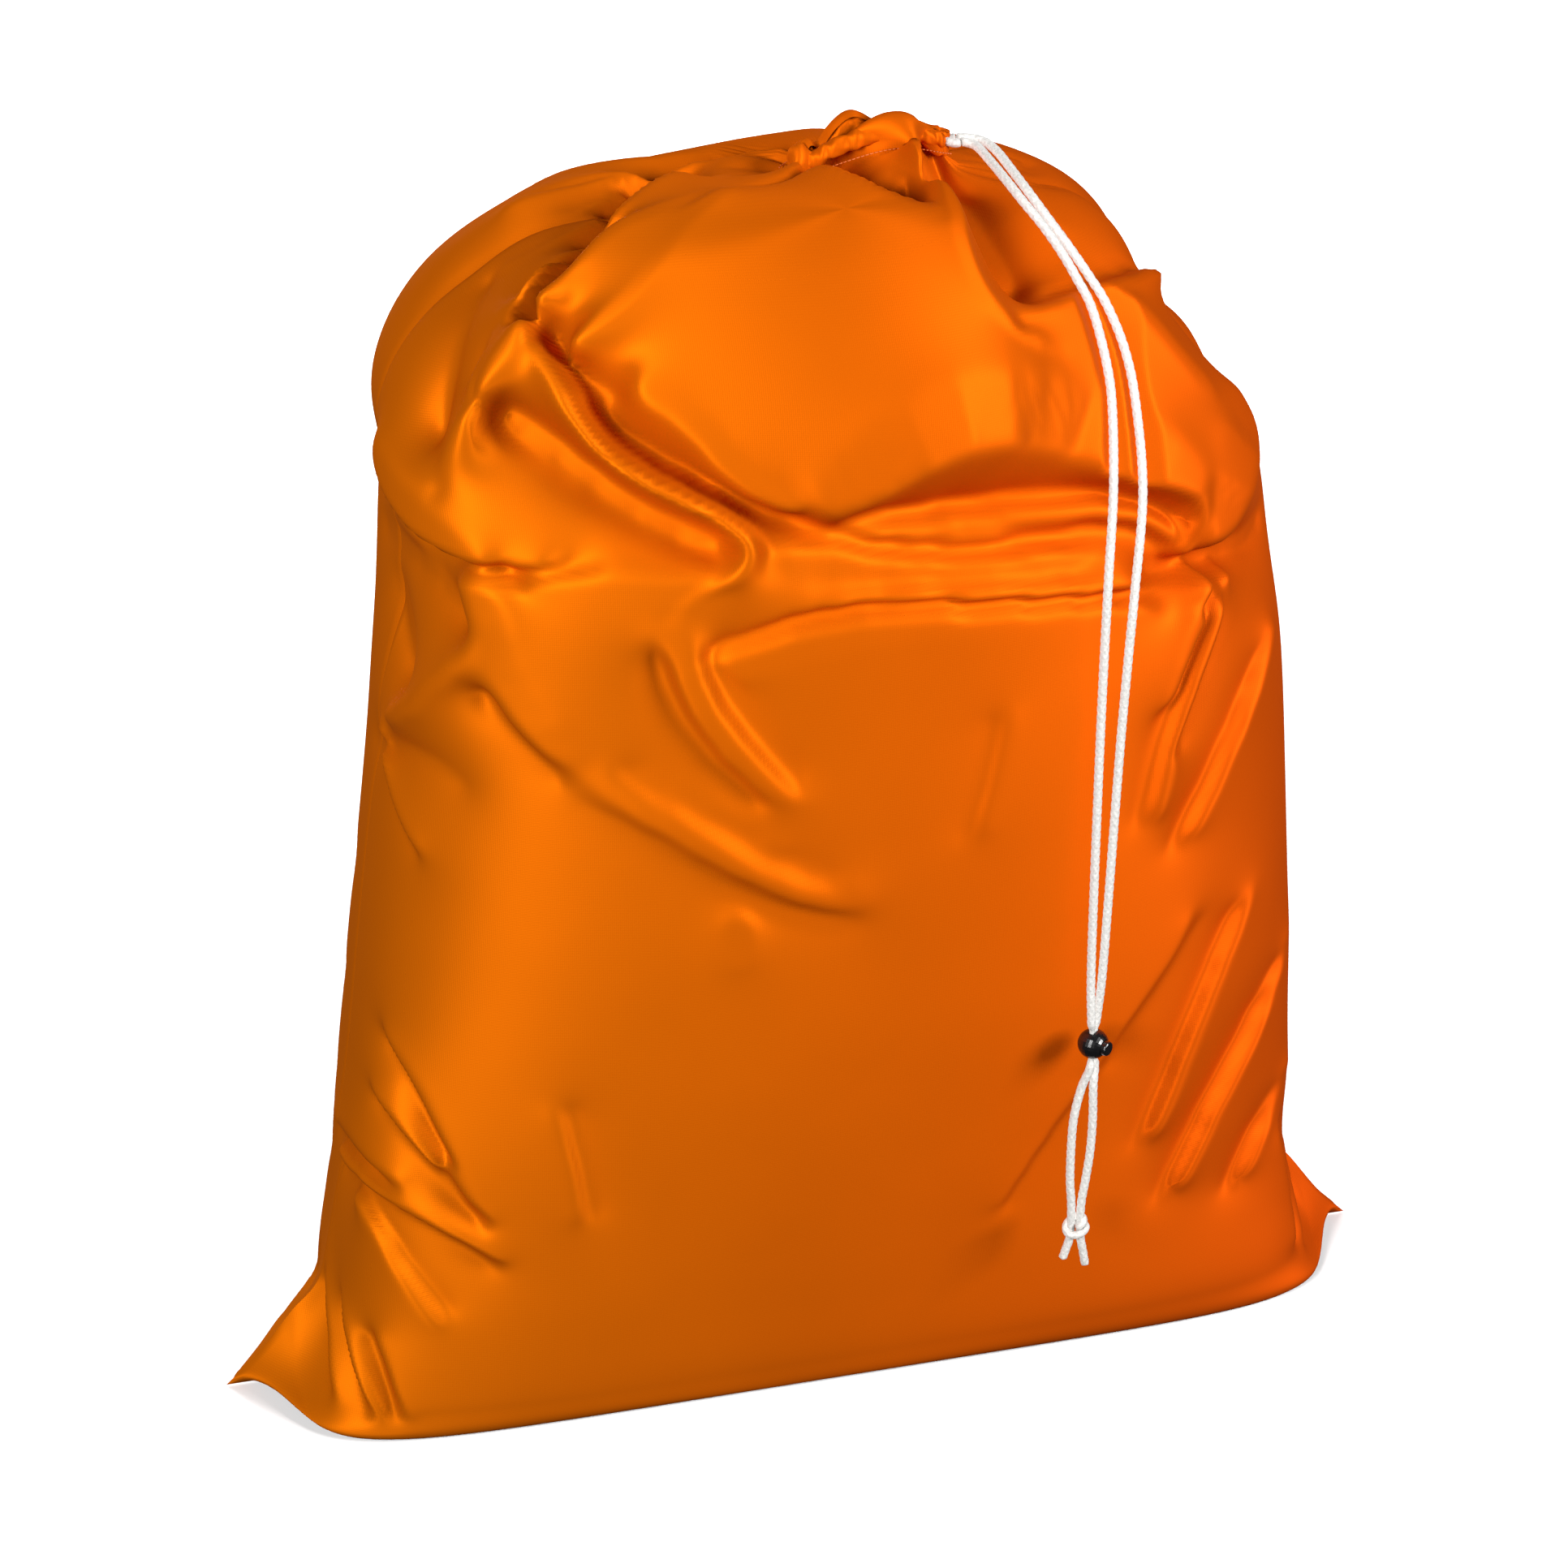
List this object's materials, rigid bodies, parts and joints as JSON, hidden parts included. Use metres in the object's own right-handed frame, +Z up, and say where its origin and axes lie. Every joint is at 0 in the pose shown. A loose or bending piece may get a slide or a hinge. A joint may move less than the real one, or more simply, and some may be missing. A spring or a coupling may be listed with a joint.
{
  "type": "drawstring bag",
  "caption": "Large soft nylon drawstring bag standing full, its mouth gathered on a braided cord with a push-button ball cord lock and a knot.",
  "frame": {"origin": "middle of the base, on the surface that the bag stands on", "axes": "+Z up, the front panel faces -Y, +X towards the side seam where the cord leaves the mouth"},
  "size_m": [0.748, 0.3352, 0.7773],
  "materials": {
    "orange_nylon": "satin woven nylon, fine weave, bright orange",
    "seam_nylon": "overlocked nylon seam allowance",
    "orange_thread": "spun polyester thread",
    "white_cord": "white braided cord",
    "black_plastic": "moulded, glossy",
    "spring_steel": "drawn wire"
  },
  "bodies": {
    "bag": {"front_panel": "orange_nylon", "back_panel": "orange_nylon", "left_side_seam": "seam_nylon", "right_side_seam": "seam_nylon", "bottom_seam": "seam_nylon", "front_hem": "orange_nylon", "back_hem": "orange_nylon", "front_hem_stitching": "orange_thread", "back_hem_stitching": "orange_thread", "drawcord_in_hem": "white_cord", "drawcord_left_strand": "white_cord", "drawcord_right_strand": "white_cord", "drawcord_knot": "white_cord", "drawcord_left_tail": "white_cord", "drawcord_right_tail": "white_cord"},
    "cord_lock": {"cord_lock_body": "black_plastic", "cord_lock_spring": "spring_steel"},
    "lock_button": {"cord_lock_button": "black_plastic"}
  },
  "joints": [
    {"name": "cord_lock_slide", "type": "slide", "parent": "bag", "child": "cord_lock", "axis": [0, 0, 1], "range_m": [-0.03, 0.15], "deforming": ["drawcord_left_strand", "drawcord_right_strand"]},
    {"name": "button_press", "type": "slide", "parent": "cord_lock", "child": "lock_button", "axis": [-0.6157, 0.788, 0], "range_m": [0, 0.0025], "stiffness_N_per_m": 400, "deforming": ["cord_lock_spring", "drawcord_left_strand", "drawcord_right_strand"]}
  ]
}
